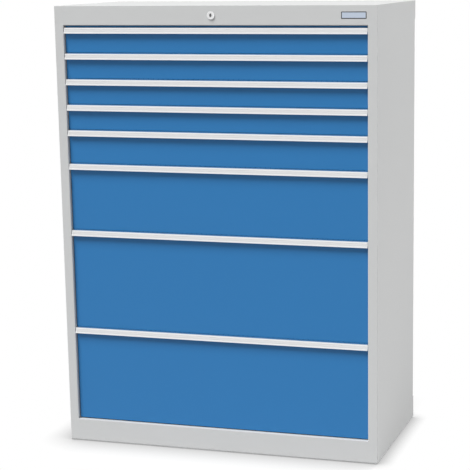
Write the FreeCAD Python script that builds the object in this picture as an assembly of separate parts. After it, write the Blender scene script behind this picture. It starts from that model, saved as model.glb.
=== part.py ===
import FreeCAD, Part
import math
import os

# Modular drawer cabinet of folded sheet steel with eight drawers on full-extension runners.
# Millimetres, +Z up, the fronts face -Y. The origin is on the floor, in the middle of the
# overall footprint, grip strips included.

# Body
carcase_width = 970.0
carcase_depth = 500.0
carcase_height = 1320.0
carcase_sheet = 1.5
plinth_height = 70.0
fascia_height = 56.0
stile_width = 28.0
stile_return = 30.0
stile_lip = 13.0
inner_fold_radius = 0.5
base_fold_radius = 6.0
top_edge_round = 1.0
fascia_return = 25.0
fascia_lip = 12.0
cover_side_flange = 15.0
rear_inset = 6.0
rear_flange = 21.5
rear_sheet = 1.0

# Drawers: the pitch of each front above the lowest one, from the bottom to the top.
# The lowest front takes the height that these leave.
upper_pitches = (300.0, 200.0, 100.0, 75.0, 75.0, 75.0, 75.0)
top_gap = 6.5
front_gap = 3.0
front_side_gap = 1.5
front_recess = 10.0
front_sheet = 1.0
front_pan_depth = 16.0
front_pan_lip = 24.0
front_base_lip = 14.0

# Trays
tray_sheet = 1.0
tray_base_gap = 5.0
tray_top_gap = 16.0
tray_hem_width = 5.0
tray_hem_drop = 5.0

# Grip strips: an extrusion with a leaning face that holds a label strip
grip_height = 17.3
grip_proud = 3.0
grip_setback = 6.0
grip_wall = 2.4
grip_top_wall = 2.0
grip_end_gap = 1.0
grip_slot_play = 0.15
grip_rear_leg = 14.0
grip_front_leg = 8.0
grip_leg_wall = 1.5
grip_nose_radius = 1.4
label_channel_top = 4.2
label_channel_height = 9.8
label_channel_depth = 1.3
label_lip_reach = 0.9
label_lip_wall = 0.5

# Telescopic runners, three nested members a side
runner_length = 430.0
runner_setback = 36.5
runner_centre = 25.0
runner_height = 45.0
runner_sheet = 1.5
runner_stack = 21.5
runner_opening_gap = 1.0
runner_flange_gap = 4.0
runner_web_gap = 1.0
race_height = 3.5
race_play = 0.3
race_width = 6.0
race_end_gap = 4.0
inner_member_height = 24.0
inner_member_depth = 15.0

# Uprights that carry the runners
upright_web = 40.0
upright_flange = 12.0
upright_end_inset = 14.0
slot_pitch = 37.5
slot_height = 12.0
slot_width = 5.0
hook_width = 4.0
hook_height = 9.0
hook_reach = 4.5

# Central lock
lock_drop = 27.5
rosette_radius = 11.5
rosette_proud = 4.0
rosette_chamfer = 1.2
barrel_radius = 9.0
barrel_length = 24.0
barrel_hole_play = 0.3
barrel_nut_width = 24.0
barrel_nut_height = 5.0
plug_radius = 6.2
plug_play = 0.3
plug_recess = 0.4
keyway_width = 2.6
keyway_height = 8.5
keyway_depth = 9.0
shaft_radius = 4.0
shaft_play = 0.3
cam_radius = 8.0
cam_swing = 90.0
cam_edge = 3.0
cam_thickness = 4.0
cam_bar_gap = 2.0
cam_pin_radius = 2.5
cam_pin_play = 0.4
cam_pin_end = 1.0
bearing_sheet = 2.0
bearing_width = 34.0
bearing_foot = 15.0
bearing_edge = 9.0
bearing_cam_gap = 5.0

# Lock bar, its guides and the catches on the trays
bar_width = 30.0
bar_thickness = 3.0
bar_wall_gap = 1.5
bar_top_edge = 12.0
guide_play = 0.5
guide_sheet = 1.5
guide_height = 20.0
guide_foot = 14.0
guide_rise = 58.0
guided_drawers = (0, 1, 2, 4, 7)
catch_width = 26.0
catch_sheet = 2.0
catch_reach = 14.5
catch_drop = 12.0
catch_foot = 22.0
catch_rise = 45.0
catch_bar_gap = 2.5
finger_width = 16.0
finger_sheet = 3.0
finger_drop_gap = 2.0
finger_lift_gap = 1.0
finger_tray_gap = 5.5

# Points closer than this are the same point.
join_tolerance = 1e-6

# Worked out from the sizes above
fold_radius = inner_fold_radius + carcase_sheet
half_width = carcase_width / 2
opening_half = half_width - stile_width
inner_half = half_width - carcase_sheet
front_y = grip_proud - (carcase_depth + grip_proud) / 2
rear_y = front_y + carcase_depth
opening_top = carcase_height - fascia_height
lowest_pitch = opening_top - top_gap - plinth_height - sum(upper_pitches)
drawer_pitches = (lowest_pitch,) + upper_pitches
rear_flange_y = rear_y - rear_inset
rear_wall_outer = rear_flange_y - carcase_sheet
rear_wall_inner = rear_wall_outer - rear_sheet
bar_rear = rear_wall_inner - bar_wall_gap
bar_front = bar_rear - bar_thickness
catch_rear = bar_front - catch_bar_gap
tray_rear = catch_rear - catch_reach
panel_y = front_y + front_recess
tray_front = panel_y + front_pan_depth
tray_half = opening_half - runner_opening_gap - runner_stack
lock_z = carcase_height - lock_drop
pin_rise = cam_radius * math.sin(math.radians(cam_swing / 2))
bar_travel = 2 * pin_rise


def vector(x, y, z):
    return FreeCAD.Vector(x, y, z)


def block(x0, x1, y0, y1, z0, z1):
    """A flat-sided piece between two corners."""
    return Part.makeBox(x1 - x0, y1 - y0, z1 - z0, vector(x0, y0, z0))


def mirrored(shape):
    """The same piece on the other side of the middle plane."""
    return shape.mirror(vector(0, 0, 0), vector(1, 0, 0))


def fused(shapes):
    """Shapes joined into one solid."""
    joined = shapes[0].fuse(shapes[1:]) if len(shapes) > 1 else shapes[0]
    return joined.removeSplitter()


def outline_edges(points):
    """A closed outline through 2D points (a, b, radius), with an arc of that radius at each corner."""
    corners = [vector(a, b, 0) for a, b, radius in points]
    starts = []
    arcs = []
    ends = []
    for i, (a, b, radius) in enumerate(points):
        corner = corners[i]
        inward = (corners[i - 1] - corner).normalize()
        outward = (corners[(i + 1) % len(points)] - corner).normalize()
        half_angle = inward.getAngle(outward) / 2
        reach = radius / math.tan(half_angle)
        starts.append(corner + inward * reach)
        ends.append(corner + outward * reach)
        middle = (inward + outward).normalize() * (radius / math.sin(half_angle) - radius)
        if radius > 0:
            arcs.append(Part.Arc(starts[-1], corner + middle, ends[-1]).toShape())
    lines = []
    for i, start in enumerate(starts):
        if (start - ends[i - 1]).Length > join_tolerance:
            lines.append(Part.LineSegment(ends[i - 1], start).toShape())
    return lines + arcs


def extruded(points, plane, low, high):
    """A closed outline of (a, b, radius) points, extruded between two places across its plane."""
    face = Part.Face(Part.Wire(Part.__sortEdges__(outline_edges(points))))
    right, up, across = {
        "XY": (vector(1, 0, 0), vector(0, 1, 0), vector(0, 0, 1)),
        "YZ": (vector(0, 1, 0), vector(0, 0, 1), vector(1, 0, 0)),
        "XZ": (vector(1, 0, 0), vector(0, 0, 1), vector(0, 1, 0)),
    }[plane]
    normal = right.cross(up)
    turn = FreeCAD.Matrix(
        right.x, up.x, normal.x, 0,
        right.y, up.y, normal.y, 0,
        right.z, up.z, normal.z, 0,
        0, 0, 0, 1,
    )
    face = face.transformed(turn)
    face.translate(across * low)
    return face.extrude(across * (high - low))


def sheet_outline(path, sheet):
    """The outline of a folded sheet: the path is one face of it, and the sheet lies to its left.

    A path point is (a, b, radius), where the radius is that of the outside of the fold.
    """
    far_side = []
    near_side = []
    count = len(path)
    corners = [vector(a, b, 0) for a, b, radius in path]
    for i, here in enumerate(corners):
        normals = []
        if i > 0:
            along = (here - corners[i - 1]).normalize()
            normals.append(vector(-along.y, along.x, 0))
        if i < count - 1:
            along = (corners[i + 1] - here).normalize()
            normals.append(vector(-along.y, along.x, 0))
        shift = normals[0]
        left_turn = True
        if len(normals) == 2:
            shift = (normals[0] + normals[1]) * (1 / (1 + normals[0].dot(normals[1])))
            left_turn = normals[0].cross(normals[1]).z > 0
        outside = path[i][2] if 0 < i < count - 1 else 0
        inside = max(outside - sheet, 0)
        near_side.append((here.x, here.y, outside if left_turn else inside))
        far = here + shift * sheet
        far_side.append((far.x, far.y, inside if left_turn else outside))
    return near_side + far_side[::-1]


def folded(path, sheet, plane, low, high):
    """A folded sheet: the outline of its section, extruded."""
    return extruded(sheet_outline(path, sheet), plane, low, high)


def module_floors():
    """The lower edge of each drawer's share of the opening."""
    floors = []
    z = plinth_height
    for pitch in drawer_pitches:
        floors.append(z)
        z += pitch
    return floors


def edges_at(solid, x=None, y=None, z=None):
    """The edges whose two ends both have the coordinates given."""
    found = []
    for edge in solid.Edges:
        gaps = []
        for vertex in edge.Vertexes:
            for value, wanted in ((vertex.X, x), (vertex.Y, y), (vertex.Z, z)):
                if wanted is not None:
                    gaps.append(abs(value - wanted))
        if max(gaps) < join_tolerance:
            found.append(edge)
    return found


def foot_block(inset):
    """The outside of the right wall's foot, or its inside where inset is the sheet."""
    x = half_width - inset
    y = front_y + inset
    solid = block(opening_half - stile_width, x, y, rear_y, inset, plinth_height)
    foot = edges_at(solid, x=x, z=inset) + edges_at(solid, y=y, z=inset)
    solid = solid.makeFillet(base_fold_radius - inset, foot)
    return solid.makeFillet(fold_radius - inset, edges_at(solid, x=x, y=y))


def wall_foot():
    """The lowest part of the right side wall: rounded at its foot, with a flange on the floor."""
    shell = foot_block(0).cut(foot_block(carcase_sheet))
    return shell.common(block(opening_half, half_width, front_y, rear_y, 0, plinth_height))


def side_wall():
    """The right side wall with its stile, in one folded sheet from the floor to the top."""
    stile = [
        (opening_half + stile_lip, front_y + stile_return, 0),
        (opening_half, front_y + stile_return, carcase_sheet),
        (opening_half, front_y, fold_radius),
        (half_width, front_y, fold_radius),
    ]
    flange = [
        (half_width, rear_flange_y, fold_radius),
        (half_width - rear_flange, rear_flange_y, 0),
    ]
    middle = folded(stile + flange, carcase_sheet, "XY", plinth_height, opening_top)
    head_path = [
        (opening_half, front_y, 0),
        (half_width, front_y, fold_radius),
        (half_width, rear_y, 0),
    ]
    head = folded(head_path, carcase_sheet, "XY", opening_top, carcase_height)
    rim = edges_at(head, x=half_width, z=carcase_height) + edges_at(head, y=front_y, z=carcase_height)
    head = head.makeFillet(top_edge_round, rim)
    return fused([wall_foot(), middle, head])


def rear_wall():
    """The flat sheet behind the drawers, held by the flanges of the side walls."""
    half = inner_half - inner_fold_radius
    return block(
        -half, half, rear_wall_inner, rear_wall_outer, plinth_height, carcase_height - carcase_sheet
    )


def top_cover():
    """The top sheet with its rear skirt, and a flange along the inside of each wall."""
    front_edge = front_y + carcase_sheet
    skirt_path = [
        (rear_wall_outer, opening_top, 0),
        (rear_y, opening_top, carcase_sheet),
        (rear_y, carcase_height, fold_radius),
        (front_edge, carcase_height, 0),
    ]
    cover = folded(skirt_path, carcase_sheet, "YZ", -inner_half, inner_half)
    corners = edges_at(cover, x=inner_half, y=front_edge) + edges_at(cover, x=-inner_half, y=front_edge)
    cover = cover.makeChamfer(inner_fold_radius, corners)
    flange = block(
        inner_half - carcase_sheet, inner_half,
        front_y + stile_return, rear_wall_inner,
        carcase_height - carcase_sheet - cover_side_flange, carcase_height - carcase_sheet,
    )
    return fused([cover, flange, mirrored(flange)])


def fascia_rail():
    """The rail above the drawers, folded back at its lower edge, with the hole for the lock."""
    path = [
        (front_y, carcase_height, 0),
        (front_y, opening_top, fold_radius),
        (front_y + fascia_return, opening_top, carcase_sheet),
        (front_y + fascia_return, opening_top + fascia_lip, 0),
    ]
    rail = folded(path, carcase_sheet, "YZ", -opening_half, opening_half)
    rail = rail.makeFillet(top_edge_round, edges_at(rail, y=front_y, z=carcase_height))
    hole_radius = barrel_radius + barrel_hole_play
    hole = Part.makeCylinder(
        hole_radius, carcase_sheet, vector(0, front_y, lock_z), vector(0, 1, 0)
    )
    return rail.cut(hole)


def base_pan():
    """Plinth front and floor in one sheet, with a skirt at the rear."""
    stile_rear = front_y + stile_return
    front_path = [
        (stile_rear, plinth_height, 0),
        (front_y, plinth_height, fold_radius),
        (front_y, 0, base_fold_radius),
        (front_y + stile_width, 0, 0),
    ]
    front = folded(front_path, carcase_sheet, "YZ", -opening_half, opening_half)
    rear_path = [
        (rear_y, base_fold_radius, 0),
        (rear_y, plinth_height, fold_radius),
        (stile_rear, plinth_height, 0),
    ]
    rear = folded(rear_path, carcase_sheet, "YZ", -inner_half, inner_half)
    return fused([front, rear])


def upright(centre_y):
    """A hat-section post on the right wall, with a slot for every step of the raster."""
    half_web = upright_web / 2
    web_x = tray_half + runner_stack
    foot_x = inner_half - carcase_sheet
    path = [
        (foot_x, centre_y + half_web + upright_flange, 0),
        (foot_x, centre_y + half_web, 0),
        (web_x, centre_y + half_web, carcase_sheet),
        (web_x, centre_y - half_web, carcase_sheet),
        (foot_x, centre_y - half_web, 0),
        (foot_x, centre_y - half_web - upright_flange, 0),
    ]
    post = folded(path, carcase_sheet, "XY", plinth_height, opening_top)
    slots = []
    for z in slot_heights():
        slots.append(block(
            web_x, web_x + carcase_sheet,
            centre_y - slot_width / 2, centre_y + slot_width / 2,
            z - slot_height / 2, z + slot_height / 2,
        ))
    return post.cut(Part.makeCompound(slots))


def slot_heights():
    """The middle of each slot, counted down from the top drawer's runner."""
    first = module_floors()[-1] + tray_base_gap + runner_centre
    steps_up = int((opening_top - upright_end_inset - first) // slot_pitch)
    steps_down = int((first - plinth_height - upright_end_inset) // slot_pitch)
    return [first + slot_pitch * k for k in range(-steps_down, steps_up + 1)]


def upright_places():
    """Where the posts stand, front and rear: over the ends of the runners."""
    front_edge = front_y + runner_setback
    inset = upright_web / 2 + upright_flange
    return (front_edge + inset, front_edge + runner_length - inset)


def runner_span():
    """The front and rear end of every runner member."""
    start = front_y + runner_setback
    return start, start + runner_length


def channel(outer_x, mouth_x, half_height, centre_z, span):
    """A C-section member with its web at outer_x and its mouth at mouth_x."""
    towards = 1 if outer_x > mouth_x else -1
    path = [
        (mouth_x, centre_z - towards * half_height, 0),
        (outer_x, centre_z - towards * half_height, 0),
        (outer_x, centre_z + towards * half_height, 0),
        (mouth_x, centre_z + towards * half_height, 0),
    ]
    return folded(path, runner_sheet, "XZ", span[0], span[1])


def runner_height_of(floor):
    """The middle of a drawer's runner."""
    return floor + tray_base_gap + runner_centre


def cabinet_member(floor):
    """The fixed member on the right, hooked into the two posts behind it."""
    centre_z = runner_height_of(floor)
    web_x = tray_half + runner_stack
    span = runner_span()
    member = channel(web_x, tray_half + runner_flange_gap, runner_height / 2, centre_z, span)
    slot_z = min(slot_heights(), key=lambda z: abs(z - centre_z))
    hooks = []
    for centre_y in upright_places():
        hooks.append(block(
            web_x, web_x + hook_reach,
            centre_y - hook_width / 2, centre_y + hook_width / 2,
            slot_z - hook_height / 2, slot_z + hook_height / 2,
        ))
    return fused([member] + hooks)


def middle_half_height():
    return runner_height / 2 - runner_sheet - race_height


def middle_member(floor):
    """The middle member on the right, between the two others."""
    centre_z = runner_height_of(floor)
    web_x = tray_half + runner_stack - runner_sheet - runner_web_gap
    mouth_x = tray_half + runner_flange_gap
    return channel(web_x, mouth_x, middle_half_height(), centre_z, runner_span())


def ball_races(floor):
    """Ball cages: the outer pair on the rear half of the member, the inner pair on the front."""
    centre_z = runner_height_of(floor)
    start, end = runner_span()
    middle_y = (start + end) / 2
    near_x = tray_half + runner_flange_gap + race_width / 2
    far_x = near_x + race_width
    outer_low = middle_half_height()
    outer_high = runner_height / 2 - runner_sheet - race_play
    inner_low = inner_member_height / 2 + race_play
    inner_high = middle_half_height() - runner_sheet
    races = []
    for side in (-1, 1):
        for low, high, y0, y1 in (
            (outer_low, outer_high, middle_y + race_end_gap, end - race_end_gap),
            (inner_low, inner_high, start + race_end_gap, middle_y - race_end_gap),
        ):
            z0 = centre_z + min(side * low, side * high)
            z1 = centre_z + max(side * low, side * high)
            races.append(block(near_x, far_x, y0, y1, z0, z1))
    return races


def drawer_member(floor):
    """The member on the right side of the tray."""
    centre_z = runner_height_of(floor)
    mouth_x = tray_half + inner_member_depth
    return channel(tray_half, mouth_x, inner_member_height / 2, centre_z, runner_span())


def tray(floor, pitch):
    """An open steel box of five welded sheets: a floor, two sides with hems and two ends."""
    low = floor + tray_base_gap
    high = floor + pitch - tray_top_gap
    hem_x = tray_half + tray_hem_width - tray_sheet
    under_hem = high - tray_sheet
    side_path = [
        (tray_half, low, 0),
        (tray_half, under_hem, 0),
        (hem_x, under_hem, 0),
        (hem_x, high - tray_hem_drop, 0),
    ]
    side = folded(side_path, tray_sheet, "XZ", tray_front, tray_rear)
    inner = tray_half - tray_sheet
    on_floor = low + tray_sheet
    solids = [block(-inner, inner, tray_front, tray_rear, low, on_floor), side, mirrored(side)]
    for y in (tray_front, tray_rear - tray_sheet):
        solids.append(block(-inner, inner, y, y + tray_sheet, on_floor, under_hem))
    return solids


def front_panel(floor, pitch):
    """The blue front: a pan folded back on three sides, its top edge held by the grip strip."""
    half = opening_half - front_side_gap
    low = floor + front_gap
    grip_top = floor + pitch
    pan_top = grip_top - grip_rear_leg - front_gap
    pan_rear = panel_y + front_pan_depth
    right = [
        (half, panel_y, front_sheet),
        (half, pan_rear, 0),
        (half - front_pan_lip, pan_rear, 0),
    ]
    left = [(-x, y, r) for x, y, r in right[::-1]]
    sides = folded(left + right, front_sheet, "XY", low, pan_top)
    face_path = [
        (panel_y, grip_top - grip_top_wall - grip_slot_play, 0),
        (panel_y, low, front_sheet),
        (pan_rear, low, 0),
        (pan_rear, low + front_base_lip, 0),
    ]
    face_half = half - front_sheet
    face = folded(face_path, front_sheet, "YZ", -face_half, face_half)
    return fused([sides, face])


def grip_outline(top):
    """The section of the grip strip: (y, z, radius) points, from the leg behind the panel."""
    slant = math.hypot(grip_setback, grip_height)
    along = (grip_setback / slant, -grip_height / slant)
    nose = front_recess + grip_proud
    crest = nose - grip_setback

    def on_face(distance, depth):
        forward = crest + along[0] * distance + along[1] * depth
        return forward, along[1] * distance - along[0] * depth

    def inner_face(height):
        distance = (height + along[0] * grip_wall) / along[1]
        return on_face(distance, grip_wall)

    channel_end = label_channel_top + label_channel_height
    panel_back = front_sheet + grip_slot_play
    lip = label_lip_reach
    points = [
        (-panel_back - grip_leg_wall, -grip_rear_leg, 0),
        (-panel_back - grip_leg_wall, 0, 0),
        (crest, 0, grip_nose_radius),
        on_face(label_channel_top + lip, 0) + (0,),
        on_face(label_channel_top + lip, label_lip_wall) + (0,),
        on_face(label_channel_top, label_lip_wall) + (0,),
        on_face(label_channel_top, label_channel_depth) + (0,),
        on_face(channel_end, label_channel_depth) + (0,),
        on_face(channel_end, label_lip_wall) + (0,),
        on_face(channel_end - lip, label_lip_wall) + (0,),
        on_face(channel_end - lip, 0) + (0,),
        (nose, -grip_height, grip_nose_radius),
        inner_face(-grip_height) + (0,),
        inner_face(-grip_top_wall) + (0,),
        (grip_slot_play + grip_leg_wall, -grip_top_wall, 0),
        (grip_slot_play + grip_leg_wall, -grip_front_leg, 0),
        (grip_slot_play, -grip_front_leg, 0),
        (grip_slot_play, -grip_top_wall, 0),
        (-panel_back, -grip_top_wall, 0),
        (-panel_back, -grip_rear_leg, 0),
    ]
    return [(panel_y - forward, top + height, radius) for forward, height, radius in points]


def grip_strip(floor, pitch):
    """The extruded strip along the top edge of a front."""
    half = opening_half - grip_end_gap
    return extruded(grip_outline(floor + pitch), "YZ", -half, half)


def catch(floor):
    """A bent plate on the back of a tray, which a finger of the lock bar holds."""
    shelf = floor + tray_base_gap + catch_rise
    path = [
        (tray_rear, shelf + catch_sheet - catch_foot, 0),
        (tray_rear, shelf + catch_sheet, 0),
        (catch_rear, shelf + catch_sheet, 0),
        (catch_rear, shelf - catch_drop, 0),
    ]
    return folded(path[::-1], catch_sheet, "YZ", -catch_width / 2, catch_width / 2)


def lock_bar(floors):
    """The flat bar behind the drawers, with the slot for the pin, and its finger for each catch."""
    half = bar_width / 2
    pin_low = lock_z - pin_rise
    bar_top = lock_z + bar_top_edge
    bar = block(-half, half, bar_front, bar_rear, plinth_height, bar_top)
    slot_half = cam_pin_radius + cam_pin_play
    slot_near = cam_radius * math.cos(math.radians(cam_swing / 2)) - slot_half
    slot = block(
        -cam_radius - slot_half, -slot_near, bar_front, bar_rear,
        pin_low - slot_half, pin_low + slot_half,
    )
    fingers = []
    tab_front = tray_rear + finger_tray_gap
    for floor in floors:
        lip_low = floor + tray_base_gap + catch_rise - catch_drop
        arm_top = lip_low - finger_lift_gap - bar_travel
        path = [
            (bar_front, arm_top - finger_sheet, 0),
            (tab_front, arm_top - finger_sheet, 0),
            (tab_front, lip_low - finger_drop_gap, 0),
        ]
        fingers.append(folded(path[::-1], finger_sheet, "YZ", -finger_width / 2, finger_width / 2))
    return [bar.cut(slot)] + fingers


def bar_guide(floor):
    """A strap on the rear wall that the lock bar slides through."""
    inner_x = bar_width / 2 + guide_play
    strap_y = bar_front - guide_play
    foot_x = inner_x + guide_sheet + guide_foot
    path = [
        (-foot_x, rear_wall_inner, 0),
        (-inner_x, rear_wall_inner, 0),
        (-inner_x, strap_y, 0),
        (inner_x, strap_y, 0),
        (inner_x, rear_wall_inner, 0),
        (foot_x, rear_wall_inner, 0),
    ]
    low = floor + guide_rise
    return folded(path[::-1], guide_sheet, "XY", low, low + guide_height)


def shaft_bearing():
    """A bracket under the top cover that carries the rear end of the shaft."""
    under = carcase_height - carcase_sheet
    plate_rear = bar_front - cam_bar_gap - cam_thickness - bearing_cam_gap
    plate_front = plate_rear - bearing_sheet
    low = lock_z - shaft_radius - bearing_edge
    path = [
        (plate_front - bearing_foot, under, 0),
        (plate_rear, under, 0),
        (plate_rear, low, 0),
    ]
    bracket = folded(path[::-1], bearing_sheet, "YZ", -bearing_width / 2, bearing_width / 2)
    bore = Part.makeCylinder(
        shaft_radius + shaft_play, bearing_sheet, vector(0, plate_front, lock_z), vector(0, 1, 0)
    )
    return bracket.cut(bore)


def turned(profile):
    """A round piece about the lock's axis, from (y, radius) points of half its section."""
    points = [vector(0, y, lock_z + radius) for y, radius in profile]
    face = Part.Face(Part.makePolygon(points + [points[0]]))
    return face.revolve(vector(0, 0, lock_z), vector(0, 1, 0), 360)


def lock_barrel():
    """The fixed part of the lock: rosette and barrel in front, with the nut behind the rail."""
    bore = plug_radius + plug_play
    tip = front_y - rosette_proud
    body = turned([
        (tip, bore),
        (tip, rosette_radius - rosette_chamfer),
        (tip + rosette_chamfer, rosette_radius),
        (front_y, rosette_radius),
        (front_y, barrel_radius),
        (front_y + barrel_length, barrel_radius),
        (front_y + barrel_length, bore),
    ])
    corner_radius = barrel_nut_width / 2 / math.cos(math.radians(30))
    corners = []
    nut_y = front_y + carcase_sheet
    for k in range(7):
        angle = math.radians(60 * k)
        corners.append(vector(
            corner_radius * math.cos(angle), nut_y, lock_z + corner_radius * math.sin(angle)
        ))
    nut = Part.Face(Part.makePolygon(corners)).extrude(vector(0, barrel_nut_height, 0))
    nut_hole = Part.makeCylinder(
        barrel_radius + barrel_hole_play, barrel_nut_height, vector(0, nut_y, lock_z), vector(0, 1, 0)
    )
    return [body, nut.cut(nut_hole)]


def lock_plug():
    """The turning part: plug with its keyway, shaft to the rear, cam disc and pin."""
    face_y = front_y - rosette_proud + plug_recess
    plug_rear = front_y + barrel_length
    cam_front = bar_front - cam_bar_gap - cam_thickness
    cam_rear = cam_front + cam_thickness
    body = turned([
        (face_y, 0),
        (face_y, plug_radius),
        (plug_rear, plug_radius),
        (plug_rear, shaft_radius),
        (cam_front, shaft_radius),
        (cam_front, cam_radius + cam_edge),
        (cam_rear, cam_radius + cam_edge),
        (cam_rear, 0),
    ])
    keyway = block(
        -keyway_width / 2, keyway_width / 2, face_y, face_y + keyway_depth,
        lock_z - keyway_height / 2, lock_z + keyway_height / 2,
    )
    start_angle = math.radians(cam_swing / 2)
    pin_x = -cam_radius * math.cos(start_angle)
    pin_z = lock_z - cam_radius * math.sin(start_angle)
    pin = Part.makeCylinder(
        cam_pin_radius, bar_rear - cam_rear + cam_pin_end,
        vector(pin_x, cam_rear, pin_z), vector(0, 1, 0),
    )
    return fused([body.cut(keyway), pin])


def write(name, solids):
    """One sub-part to its own file."""
    shape = solids[0] if len(solids) == 1 else Part.makeCompound(solids)
    for solid in shape.Solids:
        if not solid.isValid() or solid.Volume <= 0:
            raise ValueError(name + " is not a sound solid")
    shape.exportStep(os.path.join("parts", name + ".step"))


def pair(solid):
    return [solid, mirrored(solid)]


def main():
    os.makedirs("parts", exist_ok=True)
    floors = module_floors()
    wall = side_wall()
    write("side_wall_right", [wall])
    write("side_wall_left", [mirrored(wall)])
    write("rear_wall", [rear_wall()])
    write("top_cover", [top_cover()])
    write("fascia_rail", [fascia_rail()])
    write("base_pan", [base_pan()])
    posts = [upright(y) for y in upright_places()]
    write("upright_strips", posts + [mirrored(post) for post in posts])
    fixed = [cabinet_member(floor) for floor in floors]
    write("cabinet_runners", fixed + [mirrored(member) for member in fixed])
    guides = [bar_guide(floors[k]) for k in guided_drawers if k < len(floors)]
    write("lock_guides", guides + [shaft_bearing()])
    write("lock_barrel", lock_barrel())
    write("lock_plug", [lock_plug()])
    write("lock_bar", lock_bar(floors))
    # Drawers are numbered from the top.
    count = len(floors)
    for k, floor in enumerate(floors):
        pitch = drawer_pitches[k]
        number = str(count - k)
        middle = [middle_member(floor)] + ball_races(floor)
        write("drawer_" + number + "_tray", tray(floor, pitch))
        write("drawer_" + number + "_front", [front_panel(floor, pitch)])
        write("drawer_" + number + "_grip", [grip_strip(floor, pitch)])
        write("drawer_" + number + "_catch", [catch(floor)])
        write("drawer_" + number + "_runners", pair(drawer_member(floor)))
        write("middle_runners_" + number, middle + [mirrored(piece) for piece in middle])


main()
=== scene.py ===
import math

import bpy
import numpy as np
from mathutils import Matrix, Vector


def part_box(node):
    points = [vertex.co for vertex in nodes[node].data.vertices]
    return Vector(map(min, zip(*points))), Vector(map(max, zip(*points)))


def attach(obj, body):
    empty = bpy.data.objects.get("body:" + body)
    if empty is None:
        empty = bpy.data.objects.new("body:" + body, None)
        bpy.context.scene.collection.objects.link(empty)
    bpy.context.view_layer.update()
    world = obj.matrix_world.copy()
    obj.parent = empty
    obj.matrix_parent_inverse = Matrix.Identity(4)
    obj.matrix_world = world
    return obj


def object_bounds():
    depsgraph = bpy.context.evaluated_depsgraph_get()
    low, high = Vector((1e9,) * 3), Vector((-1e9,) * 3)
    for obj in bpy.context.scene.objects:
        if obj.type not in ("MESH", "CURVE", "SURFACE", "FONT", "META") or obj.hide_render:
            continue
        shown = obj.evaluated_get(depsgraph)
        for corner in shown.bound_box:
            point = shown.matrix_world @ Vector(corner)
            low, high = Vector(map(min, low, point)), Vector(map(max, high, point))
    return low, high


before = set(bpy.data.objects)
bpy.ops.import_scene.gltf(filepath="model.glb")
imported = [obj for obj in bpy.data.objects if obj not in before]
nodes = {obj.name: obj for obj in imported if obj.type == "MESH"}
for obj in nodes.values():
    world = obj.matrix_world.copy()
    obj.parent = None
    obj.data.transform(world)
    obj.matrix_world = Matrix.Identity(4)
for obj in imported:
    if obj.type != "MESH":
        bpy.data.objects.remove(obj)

mm = 0.001
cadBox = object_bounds()
drawerNumbers = range(1, 9)  # 1 is the top drawer
print("stage: the cabinet is loaded,", len(nodes), "parts")


# shader sums: a wire is a socket that can be added, scaled and compared

class Wire:
    def __init__(self, graph, socket):
        self.graph = graph
        self.socket = socket

    def joined(self, operation, first, second):
        return self.graph.add("ShaderNodeMath", {"operation": operation}, {0: first, 1: second})

    def __add__(self, other):
        return self.joined("ADD", self, other)

    def __radd__(self, other):
        return self.joined("ADD", other, self)

    def __sub__(self, other):
        return self.joined("SUBTRACT", self, other)

    def __rsub__(self, other):
        return self.joined("SUBTRACT", other, self)

    def __mul__(self, other):
        return self.joined("MULTIPLY", self, other)

    def __rmul__(self, other):
        return self.joined("MULTIPLY", other, self)

    def __truediv__(self, other):
        return self.joined("DIVIDE", self, other)

    def __rtruediv__(self, other):
        return self.joined("DIVIDE", other, self)

    def __lt__(self, other):
        return self.joined("LESS_THAN", self, other)

    def __gt__(self, other):
        return self.joined("GREATER_THAN", self, other)

    def __abs__(self):
        return self.joined("ABSOLUTE", self, 0.0)

    def root(self):
        return self.joined("SQRT", self, 0.0)

    def clamped(self):
        return self.graph.add("ShaderNodeClamp", {}, {0: self, 1: 0.0, 2: 1.0})

    def swing(self, amount):
        # a pattern about one half becomes one about zero, this much from end to end
        return (self - 0.5) * amount

    def offCentre(self, period):
        # how far a value lies from the middle of its own period, also below zero
        return abs(self.joined("FLOORED_MODULO", self, period) - period / 2)


class Graph:
    def __init__(self, tree):
        self.tree = tree
        tree.nodes.clear()

    def add(self, kind, settings, sockets, out=0):
        # settings go first, because some of them change which sockets there are
        node = self.tree.nodes.new(kind)
        for key, value in settings.items():
            setattr(node, key, value)
        for key, value in sockets.items():
            if isinstance(value, Wire):
                self.tree.links.new(value.socket, node.inputs[key])
            else:
                node.inputs[key].default_value = value
        return Wire(self, node.outputs[out]) if len(node.outputs) else None

    def mixed(self, share, first, second):
        # of a Mix node's sockets 6 and 7 take colours, and its output 2 gives one
        settings = {"data_type": "RGBA", "clamp_factor": True}
        return self.add("ShaderNodeMix", settings, {0: share, 6: first, 7: second}, 2)

    def point(self):
        # the place on the piece, in metres
        return self.add("ShaderNodeTexCoord", {}, {}, "Object")

    def split(self, vector):
        outputs = self.add("ShaderNodeSeparateXYZ", {}, {0: vector}).socket.node.outputs
        return [Wire(self, output) for output in outputs]

    def noise(self, point, scale, detail=2.0):
        # three numbers as scale stretch the pattern along X, Y and Z
        if isinstance(scale, tuple):
            point = self.add("ShaderNodeVectorMath", {"operation": "MULTIPLY"}, {0: point, 1: scale})
            scale = 1.0
        return self.add("ShaderNodeTexNoise", {}, {"Vector": point, "Scale": scale, "Detail": detail})

    def bump(self, height, strength, distance):
        sockets = {"Height": height, "Strength": strength, "Distance": distance}
        return self.add("ShaderNodeBump", {}, sockets)

    def surface(self, sockets):
        shader = self.add("ShaderNodeBsdfPrincipled", {}, sockets)
        self.add("ShaderNodeOutputMaterial", {}, {"Surface": shader})


def newGraph(name):
    material = bpy.data.materials.new(name)
    material.use_nodes = True
    return material, Graph(material.node_tree)


def tinted(colour, factor):
    return tuple(min(part * factor, 1.0) for part in colour) + (1.0,)


def grey(level):
    return (level, level, level, 1.0)


# finishes: depths and distances are in metres, colours are linear

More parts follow.
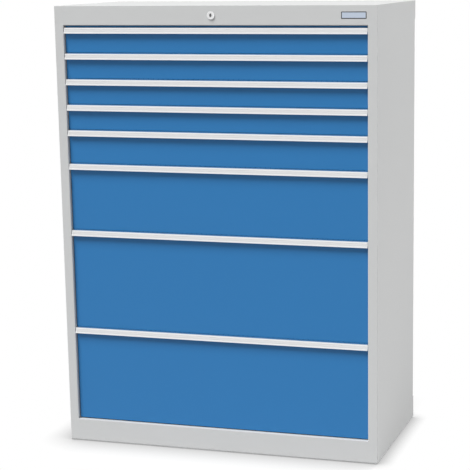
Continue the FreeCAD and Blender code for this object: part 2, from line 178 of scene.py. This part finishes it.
powder = {"cloudScale": 2.3, "cloudDetail": 3.0, "cloudTint": 0.015, "cloudGloss": 0.06,
          "peelScale": 620.0, "peelGloss": 0.10, "peelStrength": 0.10, "peelDepth": 0.12 * mm}


def paintLayers(g, point, colour):
    # a faint cloud through the colour, and the fine orange peel of a baked coat
    cloud = g.noise(point, powder["cloudScale"], powder["cloudDetail"])
    peel = g.noise(point, powder["peelScale"])
    tint = powder["cloudTint"]
    return cloud, peel, g.mixed(cloud, tinted(colour, 1 - tint), tinted(colour, 1 + tint))


def powderCoat(name, colour, roughness, specular):
    material, g = newGraph(name)
    s = powder
    cloud, peel, shade = paintLayers(g, g.point(), colour)
    g.surface({
        "Base Color": shade,
        "Roughness": peel.swing(s["peelGloss"]) + cloud.swing(s["cloudGloss"]) + roughness,
        "Specular IOR Level": specular,
        "Normal": g.bump(peel, s["peelStrength"], s["peelDepth"]),
    })
    return material


drawn = {"lines": (2.0, 900.0, 900.0), "lineDetail": 3.0, "lineGloss": 0.16, "cloud": (3.0, 42.0, 42.0),
         "cloudGloss": 0.08, "dark": 0.95, "light": 1.04, "strength": 0.10, "depth": 0.05 * mm}


def anodised(name, colour, roughness):
    # drawn along X: fine lines run the length of the strip
    material, g = newGraph(name)
    s = drawn
    point = g.point()
    lines = g.noise(point, s["lines"], s["lineDetail"])
    cloud = g.noise(point, s["cloud"])
    g.surface({
        "Base Color": g.mixed(lines, tinted(colour, s["dark"]), tinted(colour, s["light"])),
        "Metallic": 1.0,
        "Roughness": lines.swing(s["lineGloss"]) + cloud.swing(s["cloudGloss"]) + roughness,
        "Normal": g.bump(lines, s["strength"], s["depth"]),
    })
    return material


plated = {"cloud": 26.0, "cloudDetail": 4.0, "cloudGloss": 0.25, "dark": 0.88, "light": 1.08,
          "lines": (60.0, 60.0, 900.0), "lineGloss": 0.10, "strength": 0.08, "depth": 0.05 * mm}


def zincPlate(name, colour, roughness):
    # bright plate: soft clouds in the colour, faint lines level with the floor
    material, g = newGraph(name)
    s = plated
    point = g.point()
    cloud = g.noise(point, s["cloud"], s["cloudDetail"])
    lines = g.noise(point, s["lines"])
    g.surface({
        "Base Color": g.mixed(cloud, tinted(colour, s["dark"]), tinted(colour, s["light"])),
        "Metallic": 1.0,
        "Roughness": cloud.swing(s["cloudGloss"]) + lines.swing(s["lineGloss"]) + roughness,
        "Normal": g.bump(lines, s["strength"], s["depth"]),
    })
    return material


runner = {"cloud": 30.0, "cloudDetail": 4.0, "cloudGloss": 0.2, "roughness": 0.34,
          "dark": (0.56, 0.58, 0.60, 1.0), "light": (0.68, 0.70, 0.72, 1.0),
          "inner": (12.1 * mm, 15.95 * mm), "outer": (17.55 * mm, 21.0 * mm),  # each cage's height band
          "middleX": 444.5 * mm, "halfWidth": 3.05 * mm, "cage": (0.30, 0.22, 0.10, 1.0),
          "ballRadius": 1.9 * mm, "ballPitch": 7.0 * mm, "ballStart": 6.0 * mm,
          "ball": (0.70, 0.71, 0.72, 1.0), "polish": 0.2, "relief": 3.0, "strength": 0.2, "depth": 0.1 * mm}


def runnerSteel(name, centreZ):
    # zinc plated members with brown ball cages: a row of round balls shows in each cage
    material, g = newGraph(name)
    s = runner
    point = g.point()
    x, y, z = g.split(point)
    cloud = g.noise(point, s["cloud"], s["cloudDetail"])
    height = abs(z - centreZ)
    inner, outer = ((height > low) * (height < high) for low, high in (s["inner"], s["outer"]))
    across = abs(abs(x) - s["middleX"])
    cage = (inner + outer) * (across < s["halfWidth"])
    along = (y + s["ballStart"]).offCentre(s["ballPitch"])
    ball = (along * along + across * across) < s["ballRadius"] ** 2
    steel = g.mixed(cloud, s["dark"], s["light"])
    g.surface({
        "Base Color": g.mixed(cage, steel, g.mixed(ball, s["cage"], s["ball"])),
        "Metallic": 1.0 - cage * (1.0 - ball),
        "Roughness": cloud.swing(s["cloudGloss"]) + s["roughness"] - cage * ball * s["polish"],
        "Normal": g.bump(cloud + ball * cage * s["relief"], s["strength"], s["depth"]),
    })
    return material


traySlots = {"pitch": 17.0 * mm, "rise": 25.0 * mm, "width": 2.6 * mm, "height": 12.0 * mm,
             "first": 13.5 * mm, "hem": 8.0 * mm, "square": 0.9,  # a face this square to X or Y is a wall
             "dark": (0.10, 0.10, 0.11, 1.0), "slotGloss": 0.2, "peelShare": 0.15, "strength": 0.5,
             "depth": 0.3 * mm}


def trayCoat(name, colour, roughness, specular, low, high):
    # powder coat; rows of slots for dividers are pressed in the walls, between the floor and the hem, each
    # painted near black as the shade inside its opening
    material, g = newGraph(name)
    s = traySlots
    point = g.point()
    x, y, z = g.split(point)
    faceX, faceY = g.split(g.add("ShaderNodeTexCoord", {}, {}, "Normal"))[:2]
    peel, shade = paintLayers(g, point, colour)[1:]
    first = low + s["first"]
    rows = int((high - s["hem"] - s["height"] / 2 - first) / s["rise"]) + 1
    below = first - s["rise"] / 2
    within = (z > below) * (z < below + rows * s["rise"])
    onSide = (abs(faceX) > s["square"]) * (y.offCentre(s["pitch"]) < s["width"] / 2)
    onEnd = (abs(faceY) > s["square"]) * (x.offCentre(s["pitch"]) < s["width"] / 2)
    slot = (onSide + onEnd) * ((z - below).offCentre(s["rise"]) < s["height"] / 2) * within
    g.surface({
        # painted shade: the slots take the near black colour of an opening's shade
        "Base Color": g.mixed(slot, shade, s["dark"]),
        "Roughness": peel.swing(powder["peelGloss"]) + roughness + slot * s["slotGloss"],
        "Specular IOR Level": specular,
        "Normal": g.bump(peel * s["peelShare"] - slot, s["strength"], s["depth"]),
    })
    return material


lockFace = {"centreZ": 1292.5 * mm, "front": -247.5 * mm, "halfWidth": 3.3 * mm, "halfHeight": 4.9 * mm,
            "keyway": (0.015, 0.015, 0.016, 1.0), "keywayGloss": 0.3, "cloud": 60.0, "cloudDetail": 3.0,
            "dark": 0.95, "light": 1.04, "ring": 0.4 * mm, "ringGloss": 0.08, "strength": 0.05,
            "depth": 0.02 * mm}


def plugMetal(name, colour, roughness):
    # nickel plate with fine turned rings; painted shade darkens the key slot and the face round it to a near
    # black, not metallic patch
    material, g = newGraph(name)
    s = lockFace
    point = g.point()
    x, y, z = g.split(point)
    up = z - s["centreZ"]
    ovalX, ovalZ = x / s["halfWidth"], up / s["halfHeight"]
    # painted shade: inside this patch, on the faces near the front, the colour is near black
    paintedShade = (ovalX * ovalX + ovalZ * ovalZ < 1.0) * (y < s["front"])
    rings = (x * x + up * up).root().offCentre(s["ring"]) / (s["ring"] / 2)
    cloud = g.noise(point, s["cloud"], s["cloudDetail"])
    nickel = g.mixed(cloud, tinted(colour, s["dark"]), tinted(colour, s["light"]))
    g.surface({
        "Base Color": g.mixed(paintedShade, nickel, s["keyway"]),
        "Metallic": 1.0 - paintedShade,
        "Roughness": rings.swing(s["ringGloss"]) + roughness + paintedShade * s["keywayGloss"],
        "Normal": g.bump(rings, s["strength"], s["depth"]),
    })
    return material


card = {"fibres": (400.0, 1500.0, 1500.0), "fibreDetail": 4.0, "dark": (0.56, 0.56, 0.565, 1.0),
        "light": (0.60, 0.60, 0.605, 1.0), "cloud": 4.0, "cloudGloss": 0.1, "roughness": 0.4,
        "coat": 0.12, "coatRoughness": 0.12, "strength": 0.05, "depth": 0.05 * mm}


def labelPaper(name):
    # pale card behind a clear strip
    material, g = newGraph(name)
    s = card
    point = g.point()
    fibres = g.noise(point, s["fibres"], s["fibreDetail"])
    g.surface({
        "Base Color": g.mixed(fibres, s["dark"], s["light"]),
        "Roughness": g.noise(point, s["cloud"]).swing(s["cloudGloss"]) + s["roughness"],
        "Coat Weight": s["coat"],
        "Coat Roughness": s["coatRoughness"],
        "Normal": g.bump(fibres, s["strength"], s["depth"]),
    })
    return material


# the bare plate at the right end of the fascia, in millimetres; profile is (inset, height) from its foot on
plate = {"left": 381.4, "right": 453.8, "low": 1282.4, "high": 1302.2, "front": -248.5, "corner": 1.6,
         "cornerSteps": 7, "profile": [(0, 0), (0, 0.3), (0.12, 0.45), (0.3, 0.5), (1.2, 0.5)], "border": 2.4,
         "borderColour": (0.040, 0.044, 0.054, 1.0), "dark": (0.48, 0.55, 0.66, 1.0),
         "light": (0.55, 0.62, 0.73, 1.0), "grain": (60.0, 600.0, 1400.0), "grainDetail": 3.0,
         "grainGloss": 0.12, "roughness": 0.42, "metal": 0.35, "strength": 0.08, "depth": 0.05}
plateMiddle = ((plate["left"] + plate["right"]) / 2, (plate["low"] + plate["high"]) / 2)
plateHalf = ((plate["right"] - plate["left"]) / 2, (plate["high"] - plate["low"]) / 2)


def plateFoil(name):
    # pale metal foil inside a printed dark border
    material, g = newGraph(name)
    s = plate
    point = g.point()
    x, _, z = g.split(point)
    insideX = abs(x - plateMiddle[0] * mm) < (plateHalf[0] - s["border"]) * mm
    insideZ = abs(z - plateMiddle[1] * mm) < (plateHalf[1] - s["border"]) * mm
    inside = insideX * insideZ
    grain = g.noise(point, s["grain"], s["grainDetail"])
    g.surface({
        "Base Color": g.mixed(inside, s["borderColour"], g.mixed(grain, s["dark"], s["light"])),
        "Metallic": inside * s["metal"],
        "Roughness": grain.swing(s["grainGloss"]) + s["roughness"],
        "Normal": g.bump(grain + inside, s["strength"], s["depth"] * mm),
    })
    return material


paint = {"grey": (0.560, 0.566, 0.566), "greyRoughness": 0.46, "blue": (0.024, 0.170, 0.415),
         "blueRoughness": 0.42, "specular": 0.35, "traySpecular": 0.4}
nickel = {"colour": (0.84, 0.845, 0.85), "roughness": 0.24, "plugRoughness": 0.26}
greyPaint = powderCoat("greyPaint", paint["grey"], paint["greyRoughness"], paint["specular"])
bluePaint = powderCoat("bluePaint", paint["blue"], paint["blueRoughness"], paint["specular"])
gripMetal = anodised("gripMetal", colour=(0.88, 0.885, 0.89), roughness=0.38)
zincMetal = zincPlate("zincMetal", colour=(0.62, 0.64, 0.66), roughness=0.34)
rivetMetal = zincPlate("rivetMetal", colour=(0.66, 0.67, 0.68), roughness=0.30)
screwMetal = zincPlate("screwMetal", colour=(0.50, 0.51, 0.53), roughness=0.28)
paper = labelPaper("paper")
foil = plateFoil("foil")


def dress(node, material):
    slots = nodes[node].data.materials
    slots.clear()
    slots.append(material)


for name in ("side_wall_left", "side_wall_right", "rear_wall", "top_cover", "fascia_rail", "base_pan"):
    dress(name, greyPaint)
for name in ("upright_strips", "cabinet_runners", "lock_guides", "lock_bar"):
    dress(name, zincMetal)
dress("lock_barrel", zincPlate("lockMetal", nickel["colour"], nickel["roughness"]))
dress("lock_plug", plugMetal("plugMetal", nickel["colour"], nickel["plugRoughness"]))
for n in drawerNumbers:
    low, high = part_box("middle_runners_%d" % n)
    dress("middle_runners_%d" % n, runnerSteel("runnerSteel%d" % n, (low.z + high.z) / 2))
    low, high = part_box("drawer_%d_tray" % n)
    coat = trayCoat("trayPaint%d" % n, paint["grey"], paint["greyRoughness"], paint["traySpecular"],
                    low.z, high.z)
    dress("drawer_%d_tray" % n, coat)
    dress("drawer_%d_front" % n, bluePaint)
    dress("drawer_%d_grip" % n, gripMetal)
    dress("drawer_%d_catch" % n, zincMetal)
    dress("drawer_%d_runners" % n, zincMetal)
print("stage: finishes are on")


# shapes: worked out in millimetres, each a stack of closed loops with a cap at both ends

def meshPiece(name, points, faces, material, body):
    mesh = bpy.data.meshes.new(name)
    mesh.from_pydata(points.reshape(-1, 3) * mm, [], faces)
    mesh.validate()
    mesh.materials.append(material)
    piece = bpy.data.objects.new(name, mesh)
    bpy.context.scene.collection.objects.link(piece)
    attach(piece, body)
    return piece


def loopFaces(loops, count):
    # quads between neighbouring loops of count points each, and a cap on the first and the last loop
    i, j = np.meshgrid(np.arange(loops - 1), np.arange(count), indexing="ij")
    k = (j + 1) % count
    quads = np.stack([i * count + j, i * count + k, (i + 1) * count + k, (i + 1) * count + j], -1)
    first = list(range(count))[::-1]
    last = list(range((loops - 1) * count, loops * count))
    return quads.reshape(-1, 4).tolist() + [first, last]


def roundedOutline(halfA, halfB, corner, steps):
    # a rectangle with round corners: each corner is a quarter circle about its own centre;
    # gives the points and their outward normals
    angle = (np.arange(4)[:, None] + np.linspace(0, 1, steps)[None, :]) * math.pi / 2
    normal = np.stack([np.cos(angle), np.sin(angle)], -1)
    signs = np.array([(1, 1), (-1, 1), (-1, -1), (1, -1)])
    centre = signs * (np.array([halfA, halfB]) - corner)
    return (centre[:, None] + corner * normal).reshape(-1, 2), normal.reshape(-1, 2)


def raised(outline, normal, profile):
    # a low button: each loop is the outline moved in along its normals by the profile's first value,
    # at the height of its second
    profile = np.asarray(profile, float)
    flat = outline[None] - normal[None] * profile[:, 0, None, None]
    height = np.broadcast_to(profile[:, 1, None, None], flat.shape[:2] + (1,))
    return np.concatenate([flat, height], -1)


stripEnd = {"length": 0.3, "share": 0.9}  # over its last stretch a strip shrinks to this share


def alongX(name, section, half, material, body):
    # a section (y, z) carried straight along X; at both ends it is drawn in towards its own middle
    s = stripEnd
    ends = np.array([-half, -half + s["length"], half - s["length"], half])
    shrink = np.array([s["share"], 1.0, 1.0, s["share"]])[:, None, None]
    centre = section.mean(0)
    points = np.zeros((len(ends), len(section), 3))
    points[:, :, 0] = ends[:, None]
    points[:, :, 1:] = centre + (section - centre)[None] * shrink
    return meshPiece(name, points, loopFaces(len(ends), len(section)), material, body)


# the label strips lie in the channel of each grip; distances run down the grip's leaning face
labelStrip = {"top": 4.35, "bottom": 13.85, "deep": 1.24, "edge": 0.62, "crown": 0.30, "half": 454.0,
              "steps": 12}
gripFace = {"crestY": -245.5, "lean": (0.3277, 0.9448)}


def gripPoint(distance, depth, top):
    # a point of the leaning face: distance runs down it and depth goes into it, square to it
    sine, cosine = gripFace["lean"]
    y = gripFace["crestY"] - sine * distance + cosine * depth
    z = top - cosine * distance - sine * depth
    return np.stack([y, z], -1)


def makeLabel(number):
    # the section's front is half a sine wave, bulging out by the crown, and its back is flat
    s = labelStrip
    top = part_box("drawer_%d_grip" % number)[1].z / mm
    t = np.linspace(0, 1, s["steps"])
    distance = np.concatenate([s["top"] + (s["bottom"] - s["top"]) * t, [s["bottom"], s["top"]]])
    depth = np.concatenate([s["edge"] - s["crown"] * np.sin(np.pi * t), [s["deep"], s["deep"]]])
    section = gripPoint(distance, depth, top)
    return alongX("label_strip_%d" % number, section, s["half"], paper, "drawer_%d" % number)


# a thin blue lip stands on each grip and nearly closes the gap to the sheet above it
gapLip = {"front": -238.3, "thick": 1.0, "play": 1.0, "corner": 0.3, "half": 454.0}


def makeLip(number):
    # the section is a flat strip with its two upper corners cut off, as high as the gap less its play
    s = gapLip
    above = "fascia_rail" if number == 1 else "drawer_%d_front" % (number - 1)
    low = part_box("drawer_%d_grip" % number)[1].z / mm
    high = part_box(above)[0].z / mm - s["play"]
    front, back, cut = s["front"], s["front"] + s["thick"], s["corner"]
    section = np.array([(front, high - cut), (front, low), (back, low), (back, high - cut),
                        (back - cut, high), (front + cut, high)])
    return alongX("gap_lip_%d" % number, section, s["half"], bluePaint, "drawer_%d" % number)


for n in drawerNumbers:
    makeLabel(n)
    makeLip(n)


def makePlate():
    # a low button with a round edge, laid against the fascia: its height runs forward, along minus Y
    s = plate
    outline, normal = roundedOutline(*plateHalf, s["corner"], s["cornerSteps"])
    rings = raised(outline, normal, s["profile"])
    x, z, height = rings[..., 0], rings[..., 1], rings[..., 2]
    points = np.stack([x + plateMiddle[0], s["front"] - height, z + plateMiddle[1]], -1)
    return meshPiece("name_plate", points, loopFaces(*points.shape[:2]), foil, "cabinet")


makePlate()
print("stage: labels, lips and plate are made")


# fasteners: rows of (radius, height over the sheet, share of a hexagon) turned about the axis of a head
rivet = {"rows": [(0.9, 0.8, 0), (1.2, 1.25, 0), (2.4, 1.05, 0), (3.1, 0.4, 0), (3.2, -0.3, 0)],
         "sides": 12}
screw = {"rows": [(1.7, 0.5, 1), (1.7, 2.0, 1), (2.4, 2.1, 0), (3.4, 1.4, 0), (3.9, 0.2, 0),
                  (3.9, -0.3, 0)],
         "sides": 24}


toRight, toLeft, toBack = (1, 0, 0), (-1, 0, 0), (0, 1, 0)


def headRings(kind, centres, outward, side):
    # a head is centre + radius (cos a side + sin a up) + height outward, for all centres, rows and
    # angles at once; a hexagon's radius at angle a is its half width over the cosine of the way to the
    # middle of its side
    rows = np.asarray(kind["rows"], float)
    angle = np.arange(kind["sides"]) * 2 * math.pi / kind["sides"]
    hexagon = 1 / np.cos((angle + math.pi / 6) % (math.pi / 3) - math.pi / 6)
    radius = rows[:, 0, None] * (1 + rows[:, 2, None] * (hexagon[None] - 1))
    outward, side = np.asarray(outward, float), np.asarray(side, float)
    up = np.cross(side, outward)
    ring = radius[..., None] * (np.cos(angle)[:, None] * side + np.sin(angle)[:, None] * up)
    ring = ring + rows[:, 1, None, None] * outward
    return np.asarray(centres, float)[:, None, None, :] + ring[None]


def makeHeads(name, kind, groups, material, body):
    # groups are (centres, outward, side); each head is closed by its first and last ring
    rings = np.concatenate([headRings(kind, *group) for group in groups])
    heads, rows, sides = rings.shape[:3]
    one = loopFaces(rows, sides)
    faces = [[v + h * rows * sides for v in face] for h in range(heads) for face in one]
    return meshPiece(name, rings, faces, material, body)


def rowOf(x, y, z):
    # centres in a row or a grid: whichever of the three varies sets how many
    return np.stack(np.broadcast_arrays(x, y, z), -1).reshape(-1, 3)


# in each tray: rivets through its sides into the runner, screws through its front end into the panel
trayHeads = {"floorGap": 5.0, "wallX": 433.5, "rivetZ": 30.0, "rivetY": (-188.0, -60.0, 62.0, 190.0),
             "frontY": -221.5, "screwZ": 10.6, "screwX": (-400.0, -133.0, 133.0, 400.0)}


def drawerFloor(number):
    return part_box("drawer_%d_tray" % number)[0].z / mm - trayHeads["floorGap"]


def makeTrayHeads(number):
    s = trayHeads
    body = "drawer_%d" % number
    floor = drawerFloor(number)
    right = rowOf(s["wallX"], s["rivetY"], floor + s["rivetZ"])
    left = rowOf(-s["wallX"], s["rivetY"], floor + s["rivetZ"])
    front = rowOf(s["screwX"], s["frontY"], floor + s["screwZ"])
    walls = [(right, toLeft, toBack), (left, toRight, toBack)]
    rivets = makeHeads("tray_rivets_%d" % number, rivet, walls, rivetMetal, body)
    screws = makeHeads("front_screws_%d" % number, screw, [(front, toBack, toRight)], screwMetal, body)
    return rivets, screws


# in the back: rivets down both flanges, and a pair for each guide of the lock bar
rearHeads = {"flangeX": 474.5, "flangeY": 245.5, "low": 120.0, "high": 1215.0, "count": 8,
             "guideX": 24.0, "wallY": 244.0, "guideZ": 68.0, "guided": (8, 7, 6, 4, 1)}


def makeRearRivets():
    s = rearHeads
    heights = np.linspace(s["low"], s["high"], s["count"])[:, None]
    guides = np.array([[drawerFloor(n) + s["guideZ"]] for n in s["guided"]])
    flange = rowOf((-s["flangeX"], s["flangeX"]), s["flangeY"], heights)
    wall = rowOf((-s["guideX"], s["guideX"]), s["wallY"], guides)
    groups = [(flange, toBack, toLeft), (wall, toBack, toLeft)]
    return makeHeads("rear_rivets", rivet, groups, rivetMetal, "cabinet")


makeRearRivets()
for n in drawerNumbers:
    for piece in makeTrayHeads(n):
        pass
print("stage: rivets and screws are made")


# camera, from the straight edges of the photograph: millimetres, degrees and pixels of a 470 picture
view = {"at": (1468.43, -4414.93, 1433.55), "yaw": 16.6968, "pitch": 11.5642, "roll": -0.6554,
        "focal": 1535.66, "centre": (287.71, 277.85), "picture": 470.0, "sensor": 36.0, "far": 100.0}


def makeCamera():
    yaw, pitch, roll = (math.radians(view[k]) for k in ("yaw", "pitch", "roll"))
    forward = Vector((-math.sin(yaw) * math.cos(pitch), math.cos(yaw) * math.cos(pitch), -math.sin(pitch)))
    level = Vector((math.cos(yaw), math.sin(yaw), 0.0))
    up = level.cross(forward)
    right = level * math.cos(roll) + up * math.sin(roll)
    above = up * math.cos(roll) - level * math.sin(roll)
    data = bpy.data.cameras.new("photoCamera")
    data.sensor_width = view["sensor"]
    data.lens = view["sensor"] * view["focal"] / view["picture"]
    data.shift_x = (view["picture"] / 2 - view["centre"][0]) / view["picture"]
    data.shift_y = (view["centre"][1] - view["picture"] / 2) / view["picture"]
    data.clip_end = view["far"]
    camera = bpy.data.objects.new("photoCamera", data)
    turn = Matrix((right, above, -forward)).transposed().to_4x4()
    camera.matrix_world = Matrix.Translation(Vector(view["at"]) * mm) @ turn
    bpy.context.scene.collection.objects.link(camera)
    bpy.context.scene.camera = camera


makeCamera()


# floor and sky, in metres
room = {"half": 14.0, "cells": 8, "paper": 0.95, "thrown": 0.45, "grain": 40.0, "grainDetail": 3.0,
        "grainDepth": 0.01, "sky": 0.27}
# the painted shadow in the floor's glow: how far ambient occlusion looks before, left and right of the
# cabinet, how it blends at the sides and how dark it gets; share and fade let a part of the lamps' real
# shadow in before the cabinet
paintedAndCastShadow = {"before": 0.13, "left": 0.10, "right": 0.05, "blend": 0.03, "darkest": 0.44, "open": 0.35,
           "share": 0.12, "fade": 0.25, "samples": 12}


def eyeRays(g):
    # first 1 for what is seen, straight, in gloss or through glass, and 0 for light on its way;
    # then 1 for what is seen straight alone
    path = g.add("ShaderNodeLightPath", {}, {}).socket.node.outputs
    kinds = ("Is Camera Ray", "Is Glossy Ray", "Is Transmission Ray")
    camera, gloss, glass = (Wire(g, path[kind]) for kind in kinds)
    return (camera + gloss + glass).clamped(), camera


def floorFinish():
    # where it is seen the floor is white paper, and for the camera alone a painted soft shadow darkens its
    # glow close to what stands there, as far as ambient occlusion finds something near; in front of the
    # cabinet a share of the lamps' own shadow is let in as well; the light that the floor throws back is that
    # of a plain grey
    material, g = newGraph("floorPaper")
    seen, camera = eyeRays(g)
    s = paintedAndCastShadow
    point = g.point()
    x, y = g.split(point)[:2]
    onRight = ((x - cadBox[1][0]) / s["blend"] + 1.0).clamped()
    onLeft = ((cadBox[0][0] - x) / s["blend"] + 1.0).clamped()
    reach = onRight * (s["right"] - s["before"]) + onLeft * (s["left"] - s["before"]) + s["before"]
    settings = {"samples": s["samples"], "only_local": False}
    near = g.add("ShaderNodeAmbientOcclusion", settings, {"Distance": reach}, "AO")
    # painted shadow: for camera rays alone, the darkness of ambient occlusion is painted into the colour of
    # the floor's glow
    shade = (1.0 - ((near - s["open"]) / (1.0 - s["open"])).clamped()) * camera
    white = g.mixed(shade, grey(1.0), grey(s["darkest"]))
    glow = g.add("ShaderNodeEmission", {}, {"Color": white, "Strength": 1.0})
    grain = g.noise(point, room["grain"], room["grainDetail"])
    low, high = room["thrown"] - room["grainDepth"], room["thrown"] + room["grainDepth"]
    colour = g.mixed(seen, g.mixed(grain, grey(low), grey(high)), grey(room["paper"]))
    matt = g.add("ShaderNodeBsdfDiffuse", {}, {"Color": colour})
    away = ((abs(y) + cadBox[0][1]) / s["fade"]).clamped()
    cast = (1.0 - onRight) * (1.0 - onLeft) * (1.0 - away) * s["share"]
    both = g.add("ShaderNodeMixShader", {}, {0: seen * (1.0 - cast), 1: matt, 2: glow})
    g.add("ShaderNodeOutputMaterial", {}, {"Surface": both})
    return material


def makeFloor():
    # a flat sheet: an even grid at height zero
    count = room["cells"] + 1
    side = np.linspace(-room["half"], room["half"], count)
    x, y = np.meshgrid(side, side, indexing="ij")
    points = np.stack([x, y, np.zeros_like(x)], -1).reshape(-1, 3)
    i, j = np.meshgrid(np.arange(count - 1), np.arange(count - 1), indexing="ij")
    corner = i * count + j
    faces = np.stack([corner, corner + count, corner + count + 1, corner + 1], -1).reshape(-1, 4)
    mesh = bpy.data.meshes.new("floor")
    mesh.from_pydata(points, [], faces.tolist())
    mesh.materials.append(floorFinish())
    floor = bpy.data.objects.new("floor", mesh)
    bpy.context.scene.collection.objects.link(floor)


def makeSky():
    # white where it is seen; as a light it is a dimmer even grey
    world = bpy.data.worlds.new("studio")
    world.use_nodes = True
    bpy.context.scene.world = world
    g = Graph(world.node_tree)
    seen = eyeRays(g)[0]
    strength = seen + (1.0 - seen) * room["sky"]
    sky = g.add("ShaderNodeBackground", {}, {"Color": grey(1.0), "Strength": strength})
    g.add("ShaderNodeOutputWorld", {}, {"Surface": sky})


# lamps, in metres; the key and the rear lamp stay out of gloss, because they burn out on the grips there
lamps = (
    {"name": "keyLamp", "kind": "SUN", "at": (-3.4, -4.6, 8.9), "aim": (0.0, 0.0, 0.6), "angle": 30.0,
     "watts": 3.9, "inGloss": False},
    {"name": "sideLamp", "kind": "AREA", "at": (11.0, 1.1, 0.9), "aim": (0.5, 0.0, 0.6),
     "size": (5.0, 4.0), "watts": 710.0, "inGloss": True},
    {"name": "rearLamp", "kind": "AREA", "at": (-2.0, 8.0, 0.6), "aim": (0.0, 0.3, 0.6),
     "size": (5.0, 0.9), "watts": 300.0, "inGloss": False},
)


def makeLamps():
    for s in lamps:
        data = bpy.data.lights.new(s["name"], s["kind"])
        data.energy = s["watts"]
        if s["kind"] == "SUN":
            data.angle = math.radians(s["angle"])
        else:
            data.shape = "RECTANGLE"
            data.size, data.size_y = s["size"]
        lamp = bpy.data.objects.new(s["name"], data)
        lamp.visible_glossy = s["inGloss"]
        at, aim = Vector(s["at"]), Vector(s["aim"])
        turn = (aim - at).to_track_quat("-Z", "Y").to_matrix().to_4x4()
        lamp.matrix_world = Matrix.Translation(at) @ turn
        bpy.context.scene.collection.objects.link(lamp)


makeFloor()
makeSky()
makeLamps()
bpy.context.scene.view_settings.view_transform = "Standard"
print("stage: camera, floor and light are set")
